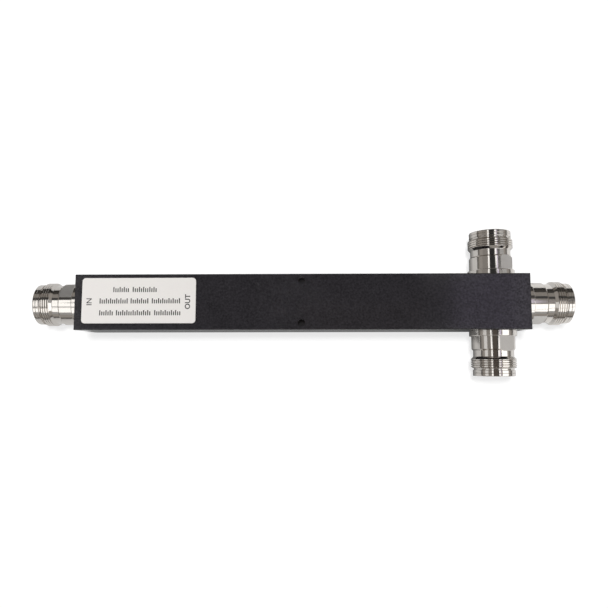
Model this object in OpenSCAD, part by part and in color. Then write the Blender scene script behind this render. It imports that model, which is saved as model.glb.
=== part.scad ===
// Three-way coaxial power splitter: a square bar housing with one input port and three output ports.
// The housing lies along X with its underside on Z = 0 and its middle at X = 0, Y = 0.
// Sizes are in millimetres. A port's own frame has its axis along +Z, pointing out of the housing.

/* [Housing] */
// Length of the square bar
housing_length = 203; // [180:1:260]
// Width and height of the square bar
housing_side = 25; // [24:0.5:32]
// Rounding of the bar's edges
edge_radius = 0.5; // [0.2:0.1:1.5]
// Diameter of the bore that holds the line
line_bore_d = 15; // [13:0.25:16]

/* [Mounting holes] */
// Diameter of the two tapped mounting holes
mount_hole_d = 3.3; // [2.5:0.1:4]
// Distance between the two mounting holes, across the bar
mount_hole_spacing = 19; // [17.5:0.5:20]
// Depth of the mounting holes
mount_hole_depth = 6; // [3:0.5:9]

/* [Label] */
// Length of the label
label_length = 51; // [20:1:80]
// Width of the label
label_width = 20.3; // [10:0.1:22]
// Thickness of the label
label_thickness = 0.15; // [0.1:0.05:0.5]
// Corner radius of the label
label_corner = 1.5; // [0.5:0.1:4]
// Gap between the input end of the bar and the label
label_end_gap = 3.5; // [1:0.5:20]
// Distance of the label's middle from the bar's middle line
label_shift = 0.6; // [-0.8:0.1:0.8]

/* [Port places] */
// Distance of the side ports' axis from the output end of the bar
side_port_inset = 13.5; // [13.5:0.1:20]
// Turn of the input port's wrench flats about the port axis, in degrees
input_flat_turn = 42; // [0:1:179]
// Turn of the end output port's wrench flats
end_flat_turn = 67; // [0:1:179]
// Turn of the north output port's wrench flats
north_flat_turn = 37; // [0:1:179]
// Turn of the south output port's wrench flats
south_flat_turn = 155; // [0:1:179]

/* [Port shell outside] */
// Diameter of the spigot that screws into the bar
spigot_d = 16; // [15:0.1:16.5]
// Length of the spigot
spigot_length = 4.5; // [3:0.1:4.6]
// Diameter of the flange against the bar
flange_d = 21; // [20:0.1:24]
// Thickness of the flange
flange_thickness = 2.6; // [1.8:0.1:4]
// Diameter of the wrench section
wrench_d = 19.2; // [18.2:0.1:19.6]
// Length of the wrench section
wrench_length = 6.5; // [4:0.1:9]
// Width across the two wrench flats
wrench_flats = 17.3; // [16:0.1:17.8]
// Length of the taper from the wrench section to the neck
wrench_taper = 0.65; // [0.4:0.05:2]
// Length that the wrench flats run on into the neck
flat_runout = 0.25; // [0.1:0.05:0.6]
// Diameter of the neck behind the thread
neck_d = 17.9; // [17:0.1:18.2]
// Length of the neck
neck_length = 2.8; // [2:0.1:6]
// Outer diameter of the coupling thread
thread_d = 20; // [19:0.1:22]
// Length of the coupling thread
thread_length = 5.25; // [3:0.05:8]
// Length of the taper from the neck up to the thread
thread_taper = 1.05; // [0.4:0.05:1.4]
// Chamfer at the front end of the thread
thread_chamfer = 0.5; // [0.2:0.05:0.6]
// Diameter of the rim in front of the thread
rim_d = 18.6; // [17.6:0.1:18.8]
// Length of the rim
rim_length = 3.55; // [2.5:0.05:6]
// Width of the groove between the thread and the rim
relief_width = 0.8; // [0.4:0.05:1.2]
// Depth of the groove between the thread and the rim, below the rim
relief_depth = 0.45; // [0.2:0.05:0.8]
// Distance of the rim's fine groove from the mouth
rim_groove_setback = 1.4; // [0.8:0.1:2]
// Width of the rim's fine groove
rim_groove_width = 0.25; // [0.2:0.05:0.6]
// Depth of the rim's fine groove
rim_groove_depth = 0.15; // [0.1:0.05:0.6]
// Small chamfer on turned edges
edge_break = 0.3; // [0.1:0.05:0.5]

/* [Port shell inside] */
// Diameter of the mouth
mouth_d = 15.4; // [14:0.1:16]
// Depth of the mouth
mouth_depth = 5; // [4.2:0.1:6]
// Diameter of the bore around the contact
contact_bore_d = 12; // [10.5:0.1:13]
// Depth of the bore around the contact
contact_bore_depth = 6; // [5.5:0.1:7]
// Diameter of the insulator
insulator_d = 10; // [9.4:0.1:10.4]
// Length of the insulator
insulator_length = 8; // [5:0.1:9]
// Diameter of the bore behind the insulator
tail_bore_d = 8.8; // [7:0.1:9.2]

/* [Contact] */
// Diameter of the contact's socket
socket_d = 4.3; // [3.6:0.1:5]
// Length of the contact's socket
socket_length = 4.8; // [3:0.1:5.4]
// Diameter of the hole in the socket
socket_hole_d = 2.2; // [1.4:0.1:2.6]
// Depth of the hole in the socket
socket_hole_depth = 4; // [2:0.1:4.4]
// Width of the socket's slots
slot_width = 0.35; // [0.2:0.05:0.6]
// Length of the socket's slots
slot_length = 3.4; // [1:0.1:3.8]
// Diameter of the contact's pin
pin_d = 3; // [2:0.1:3.2]
// Length of the pin that sits in the inner conductor
pin_engagement = 3; // [1.5:0.1:3.4]

/* [Gasket] */
// Width of the gasket ring
gasket_width = 1.1; // [0.6:0.1:1.6]
// Thickness of the gasket ring
gasket_thickness = 0.8; // [0.4:0.1:1.2]

/* [Line] */
// Impedance of each port, in ohms
port_impedance = 50; // [40:1:60]
// Depth of the groove that holds a support ring
support_groove_depth = 0.5; // [0.2:0.1:1]
// Length of a support ring along the line
support_length = 4; // [2:0.5:8]
// Gap in a support ring, through which it snaps onto the line
support_split = 1; // [0.5:0.1:2]
// Clearance of a fit, on each side
fit_gap = 0.05; // [0.02:0.01:0.1]
// Clearance at the bottom of a blind hole
bottom_gap = 0.2; // [0.1:0.05:0.3]

/* [Hidden] */
$fn = 96;

axis_z = housing_side / 2;
input_x = -housing_length / 2;
output_x = housing_length / 2;
junction_x = output_x - side_port_inset;
mount_hole_x = 0;

// A quarter-wave transformer of four steps, from one port to the outputs in parallel
outputs = 3;
steps = 4;
step_length = (housing_length - 2 * side_port_inset) / steps;
// Impedance of a coaxial line with air between its conductors, per natural logarithm of their ratio
air_line = 60;

// Stations along a port's axis, from the face of the housing
wrench_end = flange_thickness + wrench_length;
neck_end = wrench_end + neck_length;
thread_end = neck_end + thread_length;
mouth_end = thread_end + rim_length;
mouth_floor = mouth_end - mouth_depth;
insulator_front = mouth_floor - contact_bore_depth;
insulator_back = insulator_front - insulator_length;
socket_tip = insulator_front + socket_length;
gasket_inner_r = spigot_d / 2 + fit_gap;
gasket_outer_r = gasket_inner_r + gasket_width;

// Ways of choosing k things out of n
function choose(n, k) = k == 0 ? 1 : choose(n - 1, k - 1) * n / k;
// Share of the whole impedance change that is made before step k of the binomial transformer
function change_before(k) = k == 0 ? 0 : change_before(k - 1) + choose(steps, k - 1) / pow(2, steps);
function step_impedance(k) = port_impedance * pow(outputs, -change_before(k));
function step_d(k) = line_bore_d * exp(-step_impedance(k) / air_line);
function step_x(k) = input_x + side_port_inset + (k - 1) * step_length;

// Distance of the inner conductor from the housing's faces, the same at all four ports
port_reach = axis_z - step_d(steps) / 2;
conductor_start_x = input_x + port_reach;
conductor_end_x = output_x - port_reach;

module rounded_square(size, r) {
    square([size.x - 2 * r, size.y], center = true);
    square([size.x, size.y - 2 * r], center = true);
    for (x = [-1, 1], y = [-1, 1])
        translate([x * (size.x / 2 - r), y * (size.y / 2 - r)])
            circle(r);
}

// A bar with all twelve edges rounded, centred on the origin
module rounded_bar(size, r) {
    intersection() {
        rotate([90, 0, 90])
            linear_extrude(size.x, center = true)
                rounded_square([size.y, size.z], r);
        rotate([90, 0, 0])
            linear_extrude(size.y, center = true)
                rounded_square([size.x, size.z], r);
        linear_extrude(size.z, center = true)
            rounded_square([size.x, size.y], r);
    }
}

module along_x(x0, x1, d) {
    translate([x0, 0, axis_z])
        rotate([0, 90, 0])
            cylinder(h = x1 - x0, d = d);
}

module ring(outer_r, inner_r, z0, z1) {
    rotate_extrude()
        translate([inner_r, z0])
            square([outer_r - inner_r, z1 - z0]);
}

// Frames of the four ports: the face's middle, and the port's axis turned to its heading
module at_port(x, y, heading) {
    translate([x, y, axis_z])
        rotate([0, 0, heading])
            rotate([0, 90, 0])
                children();
}
module at_input() {
    at_port(input_x, 0, 180)
        children();
}
module at_end() {
    at_port(output_x, 0, 0)
        children();
}
module at_north() {
    at_port(junction_x, housing_side / 2, 90)
        children();
}
module at_south() {
    at_port(junction_x, -housing_side / 2, -90)
        children();
}
module at_every_port() {
    at_input()
        children();
    at_end()
        children();
    at_north()
        children();
    at_south()
        children();
}

// The turned outline of a port shell, as radius and station
module shell_outline() {
    groove_middle = mouth_end - rim_groove_setback;
    polygon([
        [tail_bore_d / 2, -spigot_length],
        [spigot_d / 2 - edge_break, -spigot_length],
        [spigot_d / 2, edge_break - spigot_length],
        [spigot_d / 2, gasket_thickness],
        [gasket_outer_r + fit_gap, gasket_thickness],
        [gasket_outer_r + fit_gap, 0],
        [flange_d / 2, 0],
        [flange_d / 2, flange_thickness - edge_break],
        [flange_d / 2 - edge_break, flange_thickness],
        [wrench_d / 2, flange_thickness],
        [wrench_d / 2, wrench_end - wrench_taper],
        [neck_d / 2, wrench_end],
        [neck_d / 2, neck_end],
        [thread_d / 2, neck_end + thread_taper],
        [thread_d / 2, thread_end - thread_chamfer],
        [thread_d / 2 - thread_chamfer, thread_end],
        [rim_d / 2 - relief_depth, thread_end],
        [rim_d / 2 - relief_depth, thread_end + relief_width],
        [rim_d / 2, thread_end + relief_width],
        [rim_d / 2, groove_middle - rim_groove_width / 2],
        [rim_d / 2 - rim_groove_depth, groove_middle - rim_groove_width / 2],
        [rim_d / 2 - rim_groove_depth, groove_middle + rim_groove_width / 2],
        [rim_d / 2, groove_middle + rim_groove_width / 2],
        [rim_d / 2, mouth_end - edge_break],
        [rim_d / 2 - edge_break, mouth_end],
        [mouth_d / 2 + edge_break, mouth_end],
        [mouth_d / 2, mouth_end - edge_break],
        [mouth_d / 2, mouth_floor],
        [contact_bore_d / 2, mouth_floor],
        [contact_bore_d / 2, insulator_front],
        [insulator_d / 2, insulator_front],
        [insulator_d / 2, insulator_back],
        [tail_bore_d / 2, insulator_back]
    ]);
}

module port_shell(flat_turn) {
    difference() {
        rotate_extrude()
            shell_outline();
        rotate([0, 0, flat_turn])
            for (side = [0, 180])
                rotate([0, 0, side])
                    translate([wrench_flats / 2, -flange_d / 2, flange_thickness])
                        cube([flange_d, flange_d, wrench_length + flat_runout]);
    }
}

module port_insulator() {
    ring(insulator_d / 2 - fit_gap, pin_d / 2 + fit_gap, insulator_back, insulator_front);
}

module port_contact() {
    pin_tip = -port_reach - pin_engagement;
    difference() {
        union() {
            translate([0, 0, insulator_front])
                cylinder(h = socket_length - edge_break, d = socket_d);
            translate([0, 0, socket_tip - edge_break])
                cylinder(h = edge_break, d1 = socket_d, d2 = socket_d - 2 * edge_break);
            translate([0, 0, pin_tip + edge_break])
                cylinder(h = insulator_front - pin_tip - edge_break, d = pin_d);
            translate([0, 0, pin_tip])
                cylinder(h = edge_break, d1 = pin_d - 2 * edge_break, d2 = pin_d);
        }
        translate([0, 0, socket_tip - socket_hole_depth])
            cylinder(h = socket_length, d = socket_hole_d);
        for (turn = [45, 135])
            rotate([0, 0, turn])
                translate([-socket_d, -slot_width / 2, socket_tip - slot_length])
                    cube([2 * socket_d, slot_width, socket_length]);
    }
}

module port_gasket() {
    ring(gasket_outer_r, gasket_inner_r, 0, gasket_thickness);
}

// The hole in the inner conductor for a port's contact pin
module pin_hole() {
    translate([0, 0, -port_reach - pin_engagement - bottom_gap])
        cylinder(h = pin_engagement + bottom_gap + port_reach, d = pin_d + 2 * fit_gap);
}

// A split ring in a groove in the middle of one step of the line
module support_ring(step) {
    middle = step_x(step) + step_length / 2;
    inner_d = step_d(step) - 2 * support_groove_depth + 2 * fit_gap;
    difference() {
        along_x(middle - support_length / 2, middle + support_length / 2, line_bore_d - 2 * fit_gap);
        along_x(middle - support_length, middle + support_length, inner_d);
        translate([middle - support_length, -support_split / 2, axis_z])
            cube([2 * support_length, support_split, housing_side]);
    }
}

module support_groove(step) {
    middle = step_x(step) + step_length / 2;
    half = support_length / 2 + fit_gap;
    difference() {
        along_x(middle - half, middle + half, line_bore_d);
        along_x(middle - support_length, middle + support_length, step_d(step) - 2 * support_groove_depth);
    }
}

module housing() {
    color("#2e2c30")
        difference() {
            translate([0, 0, axis_z])
                rounded_bar([housing_length, housing_side, housing_side], edge_radius);
            along_x(input_x - housing_side, output_x + housing_side, line_bore_d);
            at_every_port()
                translate([0, 0, -spigot_length - bottom_gap])
                    cylinder(h = housing_side, d = spigot_d + 2 * fit_gap);
            at_every_port()
                translate([0, 0, -axis_z])
                    cylinder(h = housing_side, d = tail_bore_d);
            for (y = [-1, 1])
                translate([mount_hole_x, y * mount_hole_spacing / 2, housing_side - mount_hole_depth])
                    cylinder(h = housing_side, d = mount_hole_d);
        }
}

module label() {
    color("#e9e6e0")
        translate([input_x + label_end_gap + label_length / 2, label_shift, housing_side])
            linear_extrude(label_thickness)
                rounded_square([label_length, label_width], label_corner);
}

module inner_conductor() {
    color("#c9a85c")
        difference() {
            union() {
                along_x(conductor_start_x, step_x(2), step_d(1));
                for (k = [2 : steps - 1])
                    along_x(step_x(k), step_x(k + 1), step_d(k));
                along_x(step_x(steps), conductor_end_x, step_d(steps));
            }
            support_groove(2);
            support_groove(3);
            at_every_port()
                pin_hole();
        }
}

module input_support() {
    color("#f4f3ee")
        support_ring(2);
}

module output_support() {
    color("#f4f3ee")
        support_ring(3);
}

module input_shell() {
    color("#b8b4ae")
        at_input()
            port_shell(input_flat_turn);
}

module input_insulator() {
    color("#f4f3ee")
        at_input()
            port_insulator();
}

module input_contact() {
    color("#c9a24a")
        at_input()
            port_contact();
}

module input_gasket() {
    color("#1d1d1f")
        at_input()
            port_gasket();
}

module end_shell() {
    color("#b8b4ae")
        at_end()
            port_shell(end_flat_turn);
}

module end_insulator() {
    color("#f4f3ee")
        at_end()
            port_insulator();
}

module end_contact() {
    color("#c9a24a")
        at_end()
            port_contact();
}

module end_gasket() {
    color("#1d1d1f")
        at_end()
            port_gasket();
}

module north_shell() {
    color("#b8b4ae")
        at_north()
            port_shell(north_flat_turn);
}

module north_insulator() {
    color("#f4f3ee")
        at_north()
            port_insulator();
}

module north_contact() {
    color("#c9a24a")
        at_north()
            port_contact();
}

module north_gasket() {
    color("#1d1d1f")
        at_north()
            port_gasket();
}

module south_shell() {
    color("#b8b4ae")
        at_south()
            port_shell(south_flat_turn);
}

module south_insulator() {
    color("#f4f3ee")
        at_south()
            port_insulator();
}

module south_contact() {
    color("#c9a24a")
        at_south()
            port_contact();
}

module south_gasket() {
    color("#1d1d1f")
        at_south()
            port_gasket();
}

housing();
label();
inner_conductor();
input_support();
output_support();
input_shell();
input_insulator();
input_contact();
input_gasket();
end_shell();
end_insulator();
end_contact();
end_gasket();
north_shell();
north_insulator();
north_contact();
north_gasket();
south_shell();
south_insulator();
south_contact();
south_gasket();
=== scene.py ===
"""Looks of the three-way coaxial power splitter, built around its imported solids."""
import math

import bmesh
import bpy
from mathutils import Matrix, Vector


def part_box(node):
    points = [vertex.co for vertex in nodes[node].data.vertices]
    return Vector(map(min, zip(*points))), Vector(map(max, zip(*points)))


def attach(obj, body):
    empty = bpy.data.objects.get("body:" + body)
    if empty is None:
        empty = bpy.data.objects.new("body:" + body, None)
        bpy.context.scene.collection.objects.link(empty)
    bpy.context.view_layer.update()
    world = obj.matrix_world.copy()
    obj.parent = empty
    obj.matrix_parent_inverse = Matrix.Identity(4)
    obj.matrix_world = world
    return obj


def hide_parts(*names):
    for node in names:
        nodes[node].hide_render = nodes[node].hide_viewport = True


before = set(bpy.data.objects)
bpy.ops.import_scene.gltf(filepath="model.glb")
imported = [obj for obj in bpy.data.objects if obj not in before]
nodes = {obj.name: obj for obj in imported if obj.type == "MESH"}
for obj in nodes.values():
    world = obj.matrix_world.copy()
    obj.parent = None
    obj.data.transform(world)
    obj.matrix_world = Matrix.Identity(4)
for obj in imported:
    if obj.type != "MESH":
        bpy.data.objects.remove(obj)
scene = bpy.context.scene
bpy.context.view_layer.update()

MM = 0.001
QUARTER_TURN = math.radians(90)

# Housing, from the frame
housing_low, housing_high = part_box("housing")
AXIS_Z = (housing_low.z + housing_high.z) / 2
JUNCTION_X = sum(corner.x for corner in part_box("north_contact")) / 2

# Ports: face of the housing that each stands on, then its heading and the turn of its flats in degrees
PORTS = {
    "input": (Vector((housing_low.x, 0, AXIS_Z)), 180, 42),
    "end": (Vector((housing_high.x, 0, AXIS_Z)), 0, 67),
    "north": (Vector((JUNCTION_X, housing_high.y, AXIS_Z)), 90, 37),
    "south": (Vector((JUNCTION_X, housing_low.y, AXIS_Z)), -90, 155),
}


class Wire:
    """An output of a shader node; arithmetic on wires and numbers adds Math nodes."""

    def __init__(self, finish, socket):
        self.finish = finish
        self.socket = socket

    def __add__(self, other):
        return self.finish.math("ADD", self, other)

    def __radd__(self, other):
        return self.finish.math("ADD", other, self)

    def __sub__(self, other):
        return self.finish.math("SUBTRACT", self, other)

    def __rsub__(self, other):
        return self.finish.math("SUBTRACT", other, self)

    def __mul__(self, other):
        return self.finish.math("MULTIPLY", self, other)

    def __rmul__(self, other):
        return self.finish.math("MULTIPLY", other, self)

    def between(self, low, high):
        """A wire from 0 to 1 spread between two numbers."""
        return low + (high - low) * self


class Finish:
    """The node tree of a material or of the world."""

    def __init__(self, owner):
        self.owner = owner
        owner.use_nodes = True
        self.tree = owner.node_tree
        self.tree.nodes.clear()

    def node(self, kind, settings, sockets, output=0):
        """An output of a new node, made with those settings and the values or wires of its sockets."""
        made = self.tree.nodes.new(kind)
        for name, value in settings.items():
            setattr(made, name, value)
        for name, value in sockets.items():
            if isinstance(value, Wire):
                self.tree.links.new(value.socket, made.inputs[name])
            else:
                made.inputs[name].default_value = value
        return Wire(self, made.outputs[output]) if made.outputs else None

    def math(self, operation, first, second=0.0):
        """A Math node on wires and numbers."""
        return self.node("ShaderNodeMath", {"operation": operation}, {0: first, 1: second})

    def place(self):
        """Position on the object, in metres."""
        return self.node("ShaderNodeTexCoord", {}, {}, "Object")

    def split(self, place):
        """The three coordinates of a place."""
        first = self.node("ShaderNodeSeparateXYZ", {}, {"Vector": place})
        return [Wire(self, socket) for socket in first.socket.node.outputs]

    def noise(self, place, feature, detail=3.0, roughness=0.6):
        """Noise from 0 to 1 with features of that size, in millimetres."""
        sockets = {"Vector": place, "Scale": 1 / (feature * MM), "Detail": detail, "Roughness": roughness}
        return self.node("ShaderNodeTexNoise", {}, sockets, "Fac")

    def smooth_noise(self, place, feature):
        """Softer noise with features of that size, in millimetres."""
        return self.noise(place, feature, detail=2.0, roughness=0.5)

    def tool_lines(self, count):
        """Noise along a port's stations, with about that many lines in a millimetre."""
        station = self.node("ShaderNodeAttribute", {"attribute_name": "station"}, {}, "Fac")
        sockets = {"W": station, "Scale": count, "Detail": 3.0}
        return self.node("ShaderNodeTexNoise", {"noise_dimensions": "1D"}, sockets, "Fac")

    def blend(self, share, first, second):
        """A colour between two colours; this node's sockets share names, so they go by number."""
        return self.node("ShaderNodeMix", {"data_type": "RGBA"}, {0: share, 6: first, 7: second}, 2)

    def ramp(self, value, low, high):
        """The value spread so that low becomes 0 and high becomes 1, and held there."""
        sockets = {"Value": value, "From Min": low, "From Max": high}
        return self.node("ShaderNodeMapRange", {"clamp": True}, sockets)

    def ray(self, kind):
        """1 for rays of that kind, and 0 for others."""
        return self.node("ShaderNodeLightPath", {}, {}, f"Is {kind} Ray")

    def bump(self, height, depth):
        """A normal from a height, which is that deep in millimetres."""
        sockets = {"Height": height, "Strength": 1.0, "Distance": depth * MM}
        return self.node("ShaderNodeBump", {}, sockets)

    def close(self, shader):
        """Ends a material in a shader and gives the material."""
        self.node("ShaderNodeOutputMaterial", {}, {"Surface": shader})
        return self.owner

    def surface(self, sockets):
        """Ends a material in the common shader with those sockets."""
        return self.close(self.node("ShaderNodeBsdfPrincipled", {}, sockets))


def material(name):
    """The empty node tree of a new material."""
    return Finish(bpy.data.materials.new(name))


def shade(level, tint=(1.0, 1.0, 1.0)):
    """A grey of that level, or a tinted one."""
    return tuple(level * part for part in tint) + (1.0,)


def average(first, second):
    """The wire halfway between two wires."""
    return 0.5 * (first + second)


def metres(lengths):
    """Lengths in metres from lengths in millimetres."""
    return [length * MM for length in lengths]


# The two bracket holes, in millimetres; they are tapped through the coat to bare metal, and their colours
# also hold painted light and shade
BRACKET_HOLE_Y = 9.5
BRACKET_HOLE_R = 1.65
BRACKET_HOLE_DEPTH = 6.0
BRACKET_HOLE_MARGIN = 0.03
# Painted light on the bare metal wall lifts the shade it lies in; painted shade darkens the bottom where
# the lamp lights it
HOLE_WALL_PAINTED_LIGHT = (0.5, 0.475, 0.5, 1.0)
HOLE_BOTTOM_PAINTED_SHADE = (0.0195, 0.0185, 0.02, 1.0)


def in_bracket_hole(finish, place):
    """Two wires: 1 inside the two bracket holes, and 1 on their bottoms. Both are 0 elsewhere."""
    x, y, z = finish.split(place)
    offset = finish.math("ABSOLUTE", y) - BRACKET_HOLE_Y * MM
    distance = finish.math("SQRT", x * x + offset * offset)
    near_axis = finish.math("LESS_THAN", distance, (BRACKET_HOLE_R + BRACKET_HOLE_MARGIN) * MM)
    below_face = finish.math("LESS_THAN", z, housing_high.z - BRACKET_HOLE_MARGIN * MM)
    bottom_z = housing_high.z - (BRACKET_HOLE_DEPTH - BRACKET_HOLE_MARGIN) * MM
    at_bottom = finish.math("LESS_THAN", z, bottom_z)
    return near_axis * below_face, near_axis * at_bottom


# Housing coat: sizes of its grain in millimetres, spreads of its noise, colours and gloss
COAT_TINT = (1.0, 0.92, 1.05)
COAT_DARK = shade(0.0115, COAT_TINT)
COAT_LIGHT = shade(0.0355, COAT_TINT)
COAT_PEBBLE = 0.7
COAT_PEBBLE_DEPTH = 0.006
COAT_CLOUD = 9.0
COAT_SPECK = 0.9
COAT_SPECK_SPREAD = (0.36, 0.68)
COAT_SPECK_SHARE = 0.7
COAT_GLOSS_PATCH = 0.8
COAT_GLOSS_SPREAD = (0.36, 0.64)
COAT_GLOSS = 0.8
COAT_GLOSS_ROUGHNESS = 0.09
COAT_ROUGHNESS = (0.07, 0.12)
COAT_SPECULAR = 0.18


def powder_coat():
    """Satin black coat with the fine pebbled grain of sprayed powder."""
    finish = material("powder_coat")
    place = finish.place()
    pebble = finish.noise(place, COAT_PEBBLE)
    cloud = finish.smooth_noise(place, COAT_CLOUD)
    speck = finish.ramp(finish.noise(place, COAT_SPECK, detail=4.0, roughness=0.7), *COAT_SPECK_SPREAD)
    tone = COAT_SPECK_SHARE * speck + (1 - COAT_SPECK_SHARE) * cloud
    coat = finish.blend(tone, COAT_DARK, COAT_LIGHT)
    # Inside the bracket holes: bare metal, with painted light on the wall and painted shade on the bottom
    in_hole, at_bottom = in_bracket_hole(finish, place)
    hole_bare_metal_and_painted_light = finish.blend(at_bottom, HOLE_WALL_PAINTED_LIGHT, HOLE_BOTTOM_PAINTED_SHADE)
    gloss = finish.ramp(finish.noise(place, COAT_GLOSS_PATCH, detail=2.0), *COAT_GLOSS_SPREAD)
    return finish.surface({
        "Base Color": finish.blend(in_hole, coat, hole_bare_metal_and_painted_light),
        "Roughness": pebble.between(*COAT_ROUGHNESS),
        "Specular IOR Level": COAT_SPECULAR,
        "Coat Weight": COAT_GLOSS * gloss,
        "Coat Roughness": COAT_GLOSS_ROUGHNESS,
        "Normal": finish.bump(pebble, COAT_PEBBLE_DEPTH),
    })


# Label film and its ink: sizes of their mottle in millimetres, and their colours
LABEL_MOTTLE = 1.4
LABEL_MOTTLE_DEPTH = 0.006
LABEL_DRIFT = 18.0
LABEL_DARK = (0.905, 0.872, 0.84, 1.0)
LABEL_LIGHT = (0.955, 0.924, 0.89, 1.0)
LABEL_PEARL = 0.25
LABEL_ROUGHNESS = (0.33, 0.39)
INK_PATCH = 0.7
INK_DARK = (0.018, 0.0175, 0.0175, 1.0)
INK_LIGHT = (0.042, 0.041, 0.04, 1.0)
INK_ROUGHNESS = (0.5, 0.6)


def label_film():
    """Pale satin film with a slight pearl sheen and a faint mottle."""
    finish = material("label_film")
    place = finish.place()
    mottle = finish.noise(place, LABEL_MOTTLE, detail=4.0)
    drift = finish.smooth_noise(place, LABEL_DRIFT)
    return finish.surface({
        "Base Color": finish.blend(average(mottle, drift), LABEL_DARK, LABEL_LIGHT),
        "Metallic": LABEL_PEARL,
        "Roughness": mottle.between(*LABEL_ROUGHNESS),
        "Normal": finish.bump(mottle, LABEL_MOTTLE_DEPTH),
    })


def label_ink():
    """Dark grey print."""
    finish = material("label_ink")
    patch = finish.noise(finish.place(), INK_PATCH)
    return finish.surface({
        "Base Color": finish.blend(patch, INK_DARK, INK_LIGHT),
        "Roughness": patch.between(*INK_ROUGHNESS),
    })


# Nickel plate, turned and milled: tool lines in a millimetre, depths and haze in millimetres, colours,
# and roughness with what the lines and the haze add to it
TURNED_LINES = 9.0
TURNED_LINE_DEPTH = 0.0006
TURNED_HAZE = 2.5
TURNED_DARK = (0.60, 0.57, 0.535, 1.0)
TURNED_LIGHT = (0.67, 0.64, 0.605, 1.0)
TURNED_ROUGHNESS = 0.05
TURNED_ROUGHENING = 0.04
MILLED_LINES = 5.0
MILLED_LINE_DEPTH = 0.004
MILLED_HAZE = 0.8
MILLED_DARK = (0.54, 0.52, 0.50, 1.0)
MILLED_LIGHT = (0.61, 0.59, 0.565, 1.0)
MILLED_ROUGHNESS = 0.32
MILLED_LINE_ROUGHENING = 0.1
MILLED_HAZE_ROUGHENING = 0.06


def turned_nickel():
    """Bright nickel plate over fine turning lines that run round the port."""
    finish = material("turned_nickel")
    lines = finish.tool_lines(TURNED_LINES)
    haze = finish.noise(finish.place(), TURNED_HAZE)
    return finish.surface({
        "Base Color": finish.blend(average(lines, haze), TURNED_DARK, TURNED_LIGHT),
        "Metallic": 1.0,
        "Roughness": TURNED_ROUGHNESS + TURNED_ROUGHENING * (lines + haze),
        "Normal": finish.bump(lines, TURNED_LINE_DEPTH),
    })


def milled_nickel():
    """The same plate on the milled wrench flats, with the cutter's dull cross lines."""
    finish = material("milled_nickel")
    lines = finish.tool_lines(MILLED_LINES)
    haze = finish.noise(finish.place(), MILLED_HAZE)
    roughening = MILLED_LINE_ROUGHENING * lines + MILLED_HAZE_ROUGHENING * haze
    return finish.surface({
        "Base Color": finish.blend(haze, MILLED_DARK, MILLED_LIGHT),
        "Metallic": 1.0,
        "Roughness": MILLED_ROUGHNESS + roughening,
        "Normal": finish.bump(lines, MILLED_LINE_DEPTH),
    })


# Gold and brass: sizes of their tarnish and grain in millimetres, colours and roughness
TARNISH_PATCH = 1.6
METAL_GRAIN = 0.25
METAL_GRAIN_DEPTH = 0.002
GOLD_DARK = (0.72, 0.5, 0.17, 1.0)
GOLD_LIGHT = (0.86, 0.63, 0.26, 1.0)
GOLD_ROUGHNESS = (0.16, 0.28)
BRASS_DARK = (0.6, 0.43, 0.18, 1.0)
BRASS_LIGHT = (0.76, 0.57, 0.28, 1.0)
BRASS_ROUGHNESS = (0.24, 0.36)


def plain_metal(name, dark, light, roughness):
    """A turned metal with a little tarnish in patches."""
    finish = material(name)
    place = finish.place()
    patch = finish.noise(place, TARNISH_PATCH)
    grain = finish.smooth_noise(place, METAL_GRAIN)
    return finish.surface({
        "Base Color": finish.blend(patch, dark, light),
        "Metallic": 1.0,
        "Roughness": patch.between(*roughness),
        "Normal": finish.bump(grain, METAL_GRAIN_DEPTH),
    })


# Insulator plastic and seal rubber: sizes of their grain in millimetres, colours and roughness
PLASTIC_CLOUD = 2.2
PLASTIC_GRAIN = 0.3
PLASTIC_GRAIN_DEPTH = 0.004
PLASTIC_DARK = (0.76, 0.755, 0.73, 1.0)
PLASTIC_LIGHT = (0.84, 0.835, 0.815, 1.0)
PLASTIC_ROUGHNESS = (0.42, 0.54)
RUBBER_GRAIN = 0.3
RUBBER_GRAIN_DEPTH = 0.01
RUBBER_DARK = (0.014, 0.014, 0.015, 1.0)
RUBBER_LIGHT = (0.028, 0.028, 0.03, 1.0)
RUBBER_ROUGHNESS = (0.7, 0.85)


def bead_plastic():
    """Waxy white insulator."""
    finish = material("bead_plastic")
    place = finish.place()
    cloud = finish.noise(place, PLASTIC_CLOUD)
    grain = finish.smooth_noise(place, PLASTIC_GRAIN)
    return finish.surface({
        "Base Color": finish.blend(cloud, PLASTIC_DARK, PLASTIC_LIGHT),
        "Roughness": cloud.between(*PLASTIC_ROUGHNESS),
        "Normal": finish.bump(grain, PLASTIC_GRAIN_DEPTH),
    })


def seal_rubber():
    """Matt black rubber."""
    finish = material("seal_rubber")
    grain = finish.noise(finish.place(), RUBBER_GRAIN)
    return finish.surface({
        "Base Color": finish.blend(grain, RUBBER_DARK, RUBBER_LIGHT),
        "Roughness": grain.between(*RUBBER_ROUGHNESS),
        "Normal": finish.bump(grain, RUBBER_GRAIN_DEPTH),
    })


def dress_nodes():
    """Gives each carried-over solid its material."""
    gold = plain_metal("contact_gold", GOLD_DARK, GOLD_LIGHT, GOLD_ROUGHNESS)
    brass = plain_metal("line_brass", BRASS_DARK, BRASS_LIGHT, BRASS_ROUGHNESS)
    white = bead_plastic()
    rubber = seal_rubber()
    looks = {"housing": powder_coat(), "label": label_film(), "inner_conductor": brass}
    looks.update({"input_support": white, "output_support": white})
    for port in PORTS:
        looks.update({f"{port}_insulator": white, f"{port}_contact": gold, f"{port}_gasket": rubber})
    for name, look in looks.items():
        nodes[name].data.materials.clear()
        nodes[name].data.materials.append(look)


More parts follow.
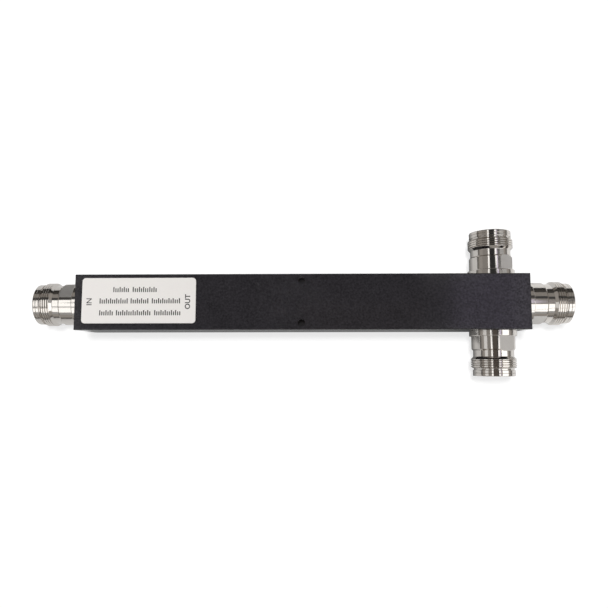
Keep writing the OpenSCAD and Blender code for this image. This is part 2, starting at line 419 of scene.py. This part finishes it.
def new_piece(name, builder, *looks):
    """An object on the part's body from a filled mesh builder and its materials."""
    mesh = bpy.data.meshes.new(name)
    bmesh.ops.recalc_face_normals(builder, faces=builder.faces)
    builder.to_mesh(mesh)
    builder.free()
    for look in looks:
        mesh.materials.append(look)
    piece = bpy.data.objects.new(name, mesh)
    scene.collection.objects.link(piece)
    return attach(piece, "root")


# Port shell outside, in millimetres; a station is a distance along the port's axis from the housing
SPIGOT_R = 8.0
SPIGOT_LENGTH = 4.5
SEAL_SEAT_R = 9.2
SEAL_SEAT_DEPTH = 0.8
FLANGE_R = 10.5
FLANGE_END = 2.6
WRENCH_R = 9.6
WRENCH_END = 9.1
WRENCH_TAPER = 0.65
WRENCH_FLATS = 17.3
FLAT_RUNOUT = 0.25
FLAT_TOLERANCE = 0.01
FLAT_STEP = 0.04
NECK_R = 8.95
NECK_END = 11.9
THREAD_R = 10.0
THREAD_TAPER = 1.15
COLLAR_END = 13.1
THREAD_END = 17.15
THREAD_PITCH = 1.0
THREAD_DEPTH = 0.58
THREAD_RUNOUT = 0.3
THREAD_CHAMFER = 0.5
RELIEF_R = 8.85
RELIEF_END = 17.95
RIM_R = 9.3
MOUTH_END = 20.7
GROOVE_STATION = 19.3
GROOVE_WIDTH = 0.25
GROOVE_DEPTH = 0.15
EDGE_BREAK = 0.3
FINE_EDGE = 0.1

# Port shell inside
MOUTH_R = 7.7
MOUTH_FLOOR = 15.7
CONTACT_BORE_R = 6.0
BEAD_FRONT = 9.7
BEAD_R = 5.0
BEAD_BACK = 1.7
TAIL_R = 4.4

# One turn of the thread as shares of the pitch and of the depth, and the rows of all turns
THREAD_TURN = [
    (0.0, 0.0), (0.05, 0.0), (0.09, 0.07), (0.25, 0.92),
    (0.29, 1.0), (0.76, 1.0), (0.8, 0.92), (0.96, 0.07),
]
THREAD_ROWS = len(THREAD_TURN) * (math.ceil((THREAD_END - COLLAR_END) / THREAD_PITCH) + 1) + 1

# Mesh fineness of the shells; the columns' clearance is a share of their step, the weld in millimetres
COLUMNS = 144
COLUMN_CLEARANCE = 1 / 3
CORNER_STEPS = 3
ROUNDING_SUPPORT = 1.25
TAPER_ROWS = 5
WELD = 0.0005
SHARP_ANGLE = math.radians(38)


def rounded(corners):
    """The outline with each corner of a given rounding turned into an arc, and a point on each side of
    the arc that keeps the straight stretches shaded flat."""
    outline = []
    for k, (station, radius, rounding) in enumerate(corners):
        corner = Vector((station, radius))
        if not rounding:
            outline.append(corner)
            continue
        before = Vector(corners[k - 1][:2])
        after = Vector(corners[(k + 1) % len(corners)][:2])
        back = (before - corner).normalized() * rounding
        ahead = (after - corner).normalized() * rounding
        outline.append(corner + ROUNDING_SUPPORT * back)
        for step in range(CORNER_STEPS + 1):
            share = step / CORNER_STEPS
            outline.append(corner + back * (1 - share) ** 2 + ahead * share ** 2)
        outline.append(corner + ROUNDING_SUPPORT * ahead)
    return outline


def outside_back():
    """Corners of the shell's outside up to the wrench section, as station, radius and rounding."""
    return [
        (-SPIGOT_LENGTH, TAIL_R, 0),
        (-SPIGOT_LENGTH, SPIGOT_R, EDGE_BREAK),
        (SEAL_SEAT_DEPTH, SPIGOT_R, 0),
        (SEAL_SEAT_DEPTH, SEAL_SEAT_R, 0),
        (0, SEAL_SEAT_R, 0),
        (0, FLANGE_R, FINE_EDGE),
        (FLANGE_END, FLANGE_R, EDGE_BREAK),
        (FLANGE_END, WRENCH_R, 0),
    ]


def wrench_rows():
    """Stations and radii of the wrench section, which the flats cut."""
    taper_start = WRENCH_END - WRENCH_TAPER
    rows = [(FLANGE_END, WRENCH_R), (taper_start - FINE_EDGE, WRENCH_R)]
    for step in range(TAPER_ROWS + 1):
        share = step / TAPER_ROWS
        rows.append((taper_start + share * WRENCH_TAPER, WRENCH_R + share * (NECK_R - WRENCH_R)))
    rows.append((WRENCH_END + FLAT_RUNOUT - FLAT_STEP, NECK_R))
    return rows


def neck_and_collar():
    """Corners of the neck and of the taper up to the thread's collar."""
    return [
        (WRENCH_END + FLAT_RUNOUT, NECK_R, 0),
        (NECK_END, NECK_R, FINE_EDGE),
        (NECK_END + THREAD_TAPER, THREAD_R, FINE_EDGE),
        (COLLAR_END, THREAD_R, 0),
    ]


def outside_front():
    """Corners of the relief groove, the rim, the mouth and the bores behind it."""
    groove_back = GROOVE_STATION - GROOVE_WIDTH / 2
    groove_front = GROOVE_STATION + GROOVE_WIDTH / 2
    root_r = THREAD_R - THREAD_DEPTH
    return [
        (THREAD_END, root_r, 0),
        (THREAD_END, RELIEF_R, FINE_EDGE),
        (RELIEF_END, RELIEF_R, FINE_EDGE),
        (RELIEF_END, RIM_R, FINE_EDGE),
        (groove_back, RIM_R, 0),
        (GROOVE_STATION, RIM_R - GROOVE_DEPTH, 0),
        (groove_front, RIM_R, 0),
        (MOUTH_END, RIM_R, EDGE_BREAK),
        (MOUTH_END, MOUTH_R, EDGE_BREAK),
        (MOUTH_FLOOR, MOUTH_R, FINE_EDGE),
        (MOUTH_FLOOR, CONTACT_BORE_R, FINE_EDGE),
        (BEAD_FRONT, CONTACT_BORE_R, 0),
        (BEAD_FRONT, BEAD_R, 0),
        (BEAD_BACK, BEAD_R, 0),
        (BEAD_BACK, TAIL_R, 0),
        (-SPIGOT_LENGTH, TAIL_R, 0),
    ]


def angle_apart(first, second):
    """The smaller angle between two directions round a port."""
    return abs((first - second + math.pi) % math.tau - math.pi)


def port_columns(turn):
    """Angles of the mesh's columns round a port, with one on each long edge of the wrench flats."""
    half_flat = math.acos(WRENCH_FLATS / 2 / WRENCH_R)
    middles = (turn, turn + math.pi)
    edges = [(middle + side * half_flat) % math.tau for middle in middles for side in (-1, 1)]
    step = math.tau / COLUMNS
    columns = list(edges)
    for k in range(COLUMNS):
        if all(angle_apart(k * step, edge) > COLUMN_CLEARANCE * step for edge in edges):
            columns.append(k * step)
    return sorted(columns)


def flat_radius(radius, angle):
    """Radius of the wrench section at an angle from a flat's middle, where the flat may cut it."""
    across = abs(math.cos(angle))
    if across * radius > WRENCH_FLATS / 2:
        return WRENCH_FLATS / 2 / across
    return radius


def thread_point(row, angle):
    """Station and radius on the coupling thread, at an angle from its seam: rows climb one pitch in a
    turn, from the collar to the front."""
    turns, corner = divmod(row, len(THREAD_TURN))
    phase, share = THREAD_TURN[corner]
    station = COLLAR_END + THREAD_PITCH * (turns - 1 + phase + angle / math.tau)
    station = min(max(station, COLLAR_END), THREAD_END)
    cut = (1 - share) * min((station - COLLAR_END) / THREAD_RUNOUT, 1)
    front_cut = 1 - (THREAD_END - station) / THREAD_CHAMFER
    return station, THREAD_R - THREAD_DEPTH * max(cut, front_cut)


class Turning:
    """A mesh of rings round a port's axis, with one vertex of each ring in every column."""

    def __init__(self, columns, to_frame):
        self.columns = columns
        self.to_frame = to_frame
        self.builder = bmesh.new()
        self.station_layer = self.builder.verts.layers.float.new("station")

    def ring(self, points):
        """A ring from the station and radius in each column."""
        made = []
        for angle, (station, radius) in zip(self.columns, points):
            point = Vector((radius * math.cos(angle), radius * math.sin(angle), station)) * MM
            vert = self.builder.verts.new(self.to_frame @ point)
            vert[self.station_layer] = station
            made.append(vert)
        return made

    def round_rings(self, outline):
        """A round ring at each point of an outline."""
        return [self.ring([point] * len(self.columns)) for point in outline]

    def join(self, rings, rows_per_turn=0):
        """Faces between neighbouring rings. On a thread the seam joins a row to the one a turn on."""
        last = len(rings) - 1
        for k in range(last):
            low = rings[k] + [rings[min(k + rows_per_turn, last)][0]]
            high = rings[k + 1] + [rings[min(k + 1 + rows_per_turn, last)][0]]
            for column in range(len(rings[k])):
                corners = (low[column], low[column + 1], high[column + 1], high[column])
                self.builder.faces.new(list(dict.fromkeys(corners))).smooth = True


def mill_flats(turning, turn):
    """Marks the faces on the wrench flats for the second material."""
    to_port = turning.to_frame.inverted()
    flat_normal = Vector((math.cos(turn), math.sin(turn), 0))
    half_flats = WRENCH_FLATS / 2 * MM
    for face in turning.builder.faces:
        points = [to_port @ vert.co for vert in face.verts]
        misses = [abs(abs(point.dot(flat_normal)) - half_flats) for point in points]
        station = (to_port @ face.calc_center_median()).z / MM
        if max(misses) < FLAT_TOLERANCE * MM and FLANGE_END < station < WRENCH_END + FLAT_RUNOUT:
            face.material_index = 1


def sharpen_edges(builder):
    """Shades the mesh sharp at its corners and round the flats."""
    for edge in builder.edges:
        same_finish = len({face.material_index for face in edge.link_faces}) == 1
        edge.smooth = same_finish and edge.calc_face_angle(0) < SHARP_ANGLE


def build_shell(port, turned, milled):
    """The turned, threaded shell of one port, in place of its plain solid."""
    face_middle, heading, flat_turn = PORTS[port]
    turn = math.radians(flat_turn)
    columns = port_columns(turn)
    seam = columns[0]
    to_frame = (
        Matrix.Translation(face_middle)
        @ Matrix.Rotation(math.radians(heading), 4, "Z")
        @ Matrix.Rotation(QUARTER_TURN, 4, "Y")
    )
    turning = Turning(columns, to_frame)
    back = turning.round_rings(rounded(outside_back())[:-1])
    wrench = [
        turning.ring([(station, flat_radius(radius, angle - turn)) for angle in columns])
        for station, radius in wrench_rows()
    ]
    neck = turning.round_rings(rounded(neck_and_collar())[:-1])
    thread = [
        turning.ring([thread_point(row, angle - seam) for angle in columns])
        for row in range(THREAD_ROWS)
    ]
    front = turning.round_rings(rounded(outside_front()))
    turning.join(back + wrench[:1])
    turning.join(wrench)
    turning.join(wrench[-1:] + neck + thread[:1])
    turning.join(thread, len(THREAD_TURN))
    turning.join(thread[-1:] + front)
    mill_flats(turning, turn)
    builder = turning.builder
    bmesh.ops.remove_doubles(builder, verts=builder.verts, dist=WELD * MM)
    sharpen_edges(builder)
    shell = new_piece(f"{port}_threaded_shell", builder, turned, milled)
    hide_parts(f"{port}_shell")


# Print on the label, in millimetres: rows of short strokes, each with its start, its foot and the lengths
# of its groups, and two port marks, each with its place, its size and its added weight
PRINT_HEIGHT = 0.02
STROKE_WIDTH = 0.48
STROKE_STEP = 0.93
STROKE_HEIGHTS = (2.3, 1.7, 1.7, 2.3, 1.7)
PRINT_ROWS = [
    (-84.0, 4.4, (7.4, 11.2)),
    (-90.0, -0.7, (12.6, 8.2, 13.4)),
    (-90.0, -6.0, (6.2, 15.8, 12.0)),
]
GROUP_GAP = 1.3
MARKS = [("IN", -94.6, 0.1, 3.4, 0.02), ("OUT", -50.5, 0.0, 3.15, 0.06)]


def add_block(builder, low, high):
    """A rectangular block between two corners."""
    for vert in bmesh.ops.create_cube(builder, size=1)["verts"]:
        vert.co = Vector(low[k] if vert.co[k] < 0 else high[k] for k in range(3))


def label_strokes(ink, base):
    """Rows of short strokes, printed on the label at that level."""
    builder = bmesh.new()
    for start, foot, groups in PRINT_ROWS:
        left = start
        for length in groups:
            for k in range(round(length / STROKE_STEP)):
                height = STROKE_HEIGHTS[k % len(STROKE_HEIGHTS)]
                low = Vector(((left + k * STROKE_STEP) * MM, foot * MM, base))
                size = Vector((STROKE_WIDTH, height, PRINT_HEIGHT)) * MM
                add_block(builder, low, low + size)
            left += length + GROUP_GAP
    new_piece("label_strokes", builder, ink)


def label_marks(ink, base):
    """The marks of the input and output ends, printed on the label at that level."""
    for word, x, y, size, weight in MARKS:
        curve = bpy.data.curves.new(f"mark_{word.lower()}", "FONT")
        curve.body = word
        curve.size = size * MM
        curve.align_x = "CENTER"
        curve.align_y = "CENTER"
        curve.offset = weight * MM
        curve.extrude = PRINT_HEIGHT / 2 * MM
        curve.materials.append(ink)
        mark = bpy.data.objects.new(f"mark_{word.lower()}", curve)
        mark.location = (x * MM, y * MM, base + PRINT_HEIGHT / 2 * MM)
        mark.rotation_euler = (0, 0, QUARTER_TURN)
        scene.collection.objects.link(mark)
        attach(mark, "root")


# Studio, in metres; levels are shares of plain white, and each band of a wall has its foot, top and level
AMBIENT = 0.3
BACKGROUND = 1.0
KEY_PLACE = Vector((-0.02, 0.068, 0.6))
KEY_SIZE = 0.085
KEY_POWER = 2.45
ROOM_HALF = 16.5
ROOM_HEIGHT = 9.6
ROOM_TINT = (1.06, 1.0, 0.94)
CEILING_LEVEL = 0.29
WALL_BANDS = [(0.0, 1.2, 0.09), (1.2, 3.3, 0.24), (3.3, ROOM_HEIGHT, 0.36)]
NORTH_WALL_SHARE = 0.16
CM_IN_METRE = 100
CARD_HEIGHT = 8.4
CARD_SPACING = 0.05

# Floor: its half width in metres, and how the camera and the metal see it, with zones in millimetres of a
# painted shadow and a painted light that only the metal sees
FLOOR_HALF = 17.0
FLOOR_DROP = 0.02 * MM
FLOOR_COLOUR = shade(0.4)
FLOOR_WHITE = 0.72
FLOOR_COLOUR_IN_METAL = shade(0.73)
FLOOR_WHITE_IN_METAL = 0.08
FLOOR_PAINTED_LIGHT_IN_METAL = shade(1.0)
FLOOR_PAINTED_LIGHT_X = (110, 122)
FLOOR_PAINTED_SHADOW_IN_METAL = shade(0.03)
FLOOR_PAINTED_SHADOW_X = (57, 81)
FLOOR_PAINTED_SHADOW_Y = (55, 35)

# Cards that the metal mirrors: range of lean towards +X and towards +Y in degrees, level and tint. Each
# hangs a little lower than the one before and hides it.
NEUTRAL = (1.0, 1.0, 1.0)
COOL = (1.0, 0.89, 1.24)
PALE_COOL = (1.0, 0.94, 1.12)
CARDS = {
    "west_fade_edge": ((-24.55, -21), (2.1, 9.4), 0.12, NEUTRAL),
    "west_fade_outer": ((-21, -17), (-12, 20), 0.18, NEUTRAL),
    "west_fade_inner": ((-17, -12), (-12, 20), 0.13, NEUTRAL),
    "dim_middle": ((-12, 9.8), (-12, 20), 0.06, NEUTRAL),
    "dim_east": ((9.8, 14.6), (2.2, 9.2), 0.06, NEUTRAL),
    "east_patch": ((14.6, 20.8), (-2, 14), 0.62, COOL),
    "east_patch_end": ((20.8, 22.8), (-2, 17), 1.0, PALE_COOL),
    "left_strip": ((-28.8, -21), (-40, 2.1), 1.65, NEUTRAL),
    "left_strip_middle": ((-28.8, -24.55), (2.1, 9.4), 1.65, NEUTRAL),
    "left_strip_north": ((-28.8, -21), (9.4, 21), 1.65, NEUTRAL),
    "left_strip_foot": ((-38, -24), (-49, -26), 1.65, NEUTRAL),
    "left_strip_gap": ((-30, -22), (-21, -14.5), 0.7, NEUTRAL),
    "mid_strip_north": ((9.5, 18.5), (9.2, 16), 1.65, NEUTRAL),
    "mid_strip_south": ((9.8, 18.8), (-6, 2.2), 1.65, NEUTRAL),
    "north_dip": ((25.5, 38), (10, 18), 0.17, NEUTRAL),
    "north_glow": ((38, 67), (11, 32), 0.5, NEUTRAL),
    "east_softbox": ((28.5, 64), (-50, 9), 1.8, NEUTRAL),
    "east_softbox_end": ((64, 73), (-5, 9), 0.75, NEUTRAL),
    "east_softbox_south": ((64, 76), (-52, -5), 1.8, NEUTRAL),
    "south_softbox": ((20.5, 28), (-52, -8), 1.8, NEUTRAL),
    "south_band": ((-45, 64), (-62, -51), 0.45, NEUTRAL),
    "left_patch": ((-66, -48), (-40, 6), 0.9, NEUTRAL),
    "north_band": ((-45, 45), (22, 36), 0.07, NEUTRAL),
}

# The camera's own dark body above the part, in millimetres: ranges of Y, levels and tints
CAMERA_BODY_X = (-9, 102)
CAMERA_BODY_Z = 276
CAMERA_BODY = {
    "camera_front": ((-75, 25), 0.095, (1.15, 1.0, 0.87)),
    "camera_back": ((25, 130), 0.04, NEUTRAL),
}


def sheet(name, corners, look):
    """A flat of one face for the studio."""
    builder = bmesh.new()
    builder.faces.new([builder.verts.new(corner) for corner in corners])
    mesh = bpy.data.meshes.new(name)
    builder.to_mesh(mesh)
    builder.free()
    mesh.materials.append(look)
    made = bpy.data.objects.new(name, mesh)
    scene.collection.objects.link(made)
    return made


def level_rectangle(low, high, z):
    """Corners of a level rectangle between two corners."""
    return [(low[0], low[1], z), (high[0], low[1], z), (high[0], high[1], z), (low[0], high[1], z)]


def lit_flat(name, corners, level, tint):
    """A flat glowing card of the studio, seen only in mirror-like surfaces."""
    finish = material(name)
    glow = finish.node("ShaderNodeEmission", {}, {"Color": shade(1.0, tint), "Strength": level})
    card = sheet(name, corners, finish.close(glow))
    card.visible_camera = False
    card.visible_diffuse = False
    card.visible_transmission = False
    card.visible_shadow = False


def overhead_cards():
    """The cards above the part, and the camera's body under them."""
    for k, (name, (x_leans, y_leans, level, tint)) in enumerate(CARDS.items()):
        height = CARD_HEIGHT - k * CARD_SPACING
        west, east = [height * math.tan(math.radians(lean)) for lean in x_leans]
        south, north = [height * math.tan(math.radians(lean)) for lean in y_leans]
        lit_flat(name, level_rectangle((west, south), (east, north), height), level, tint)
    west, east = metres(CAMERA_BODY_X)
    for name, (y_edges, level, tint) in CAMERA_BODY.items():
        south, north = metres(y_edges)
        lit_flat(name, level_rectangle((west, south), (east, north), CAMERA_BODY_Z * MM), level, tint)


def room():
    """The dim room round the part: a ceiling, and walls in bands that darken towards the floor."""
    half = ROOM_HALF
    ceiling = level_rectangle((-half, -half), (half, half), ROOM_HEIGHT)
    lit_flat("ceiling", ceiling, CEILING_LEVEL, ROOM_TINT)
    corners = [(-half, -half), (half, -half), (half, half), (-half, half)]
    for k, side in enumerate(["south", "east", "north", "west"]):
        start = corners[k]
        end = corners[(k + 1) % len(corners)]
        share = NORTH_WALL_SHARE if side == "north" else 1.0
        for low, high, level in WALL_BANDS:
            band = [(*start, low), (*end, low), (*end, high), (*start, high)]
            lit_flat(f"{side}_wall_{round(low * CM_IN_METRE)}", band, share * level, ROOM_TINT)


def seen_share(finish, seen, mirrored):
    """The first number for rays from the camera and through glass, the second for mirrored rays, and 0
    for others."""
    direct = finish.math("MAXIMUM", finish.ray("Camera"), finish.ray("Transmission"))
    return finish.math("MAXIMUM", seen * direct, mirrored * finish.ray("Glossy"))


def floor():
    """A plain white floor that keeps the part's soft shadow. For mirrored rays only, a shadow is painted
    on it west of the side ports, as a bright east side would leave, and a lighter stretch is painted
    beyond the end port."""
    finish = material("floor_white")
    x, y = finish.split(finish.place())[:2]
    # Painted shadow on the floor west of the side ports, seen only in mirrored rays
    along = finish.ramp(x, *metres(FLOOR_PAINTED_SHADOW_X)) * finish.math("LESS_THAN", x, JUNCTION_X)
    across = finish.ramp(finish.math("ABSOLUTE", y), *metres(FLOOR_PAINTED_SHADOW_Y))
    # Painted light: a brighter stretch of floor beyond the end port, seen only in mirrored rays
    east = finish.ramp(x, *metres(FLOOR_PAINTED_LIGHT_X))
    bright = finish.blend(east, FLOOR_COLOUR_IN_METAL, FLOOR_PAINTED_LIGHT_IN_METAL)
    in_metal = finish.blend(along * across, bright, FLOOR_PAINTED_SHADOW_IN_METAL)
    colour = finish.blend(finish.ray("Glossy"), FLOOR_COLOUR, in_metal)
    lit = finish.node("ShaderNodeBsdfDiffuse", {}, {"Color": colour})
    strength = seen_share(finish, FLOOR_WHITE, FLOOR_WHITE_IN_METAL)
    white = finish.node("ShaderNodeEmission", {}, {"Strength": strength})
    both = finish.node("ShaderNodeAddShader", {}, {0: lit, 1: white})
    rectangle = level_rectangle((-FLOOR_HALF, -FLOOR_HALF), (FLOOR_HALF, FLOOR_HALF), -FLOOR_DROP)
    made = sheet("floor", rectangle, finish.close(both))


def lights():
    """Even light from all round and one soft lamp high above."""
    world = bpy.data.worlds.new("studio")
    scene.world = world
    finish = Finish(world)
    level = AMBIENT + seen_share(finish, BACKGROUND - AMBIENT, BACKGROUND - AMBIENT)
    glow = finish.node("ShaderNodeBackground", {}, {"Color": shade(1.0), "Strength": level})
    finish.node("ShaderNodeOutputWorld", {}, {"Surface": glow})
    lamp = bpy.data.lights.new("key", "AREA")
    lamp.size = KEY_SIZE
    lamp.energy = KEY_POWER
    key = bpy.data.objects.new("key", lamp)
    key.location = KEY_PLACE
    key.rotation_euler = (-KEY_PLACE).to_track_quat("-Z", "Y").to_euler()
    key.visible_glossy = False
    scene.collection.objects.link(key)


# Camera: place and aim in millimetres, from the fit to the photograph's edges, and its reach in metres
CAMERA_PLACE = Vector((5.3, -24.9, 266.65))
CAMERA_AIM = Vector((1.18, -1.13, 25.0))
CAMERA_ROLL = 0.05
CAMERA_LENS = 32.44
CAMERA_SENSOR = 36.0
CAMERA_REACH = 50.0
PICTURE_UP = Vector((0, 1, 0))


def camera():
    """Looks down on the part, with +Y up in the picture."""
    data = bpy.data.cameras.new("camera")
    data.lens = CAMERA_LENS
    data.sensor_width = CAMERA_SENSOR
    data.clip_start = MM
    data.clip_end = CAMERA_REACH
    made = bpy.data.objects.new("camera", data)
    back = (CAMERA_PLACE - CAMERA_AIM).normalized()
    right = PICTURE_UP.cross(back).normalized()
    facing = Matrix((right, back.cross(right), back)).transposed().to_4x4()
    roll = Matrix.Rotation(-math.radians(CAMERA_ROLL), 4, "Z")
    made.matrix_world = Matrix.Translation(CAMERA_PLACE * MM) @ facing @ roll
    scene.collection.objects.link(made)
    scene.camera = made


camera()
dress_nodes()
turned = turned_nickel()
milled = milled_nickel()
for port in PORTS:
    build_shell(port, turned, milled)
ink = label_ink()
label_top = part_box("label")[1].z
label_strokes(ink, label_top)
label_marks(ink, label_top)
floor()
lights()
room()
overhead_cards()
scene.view_settings.view_transform = "Standard"
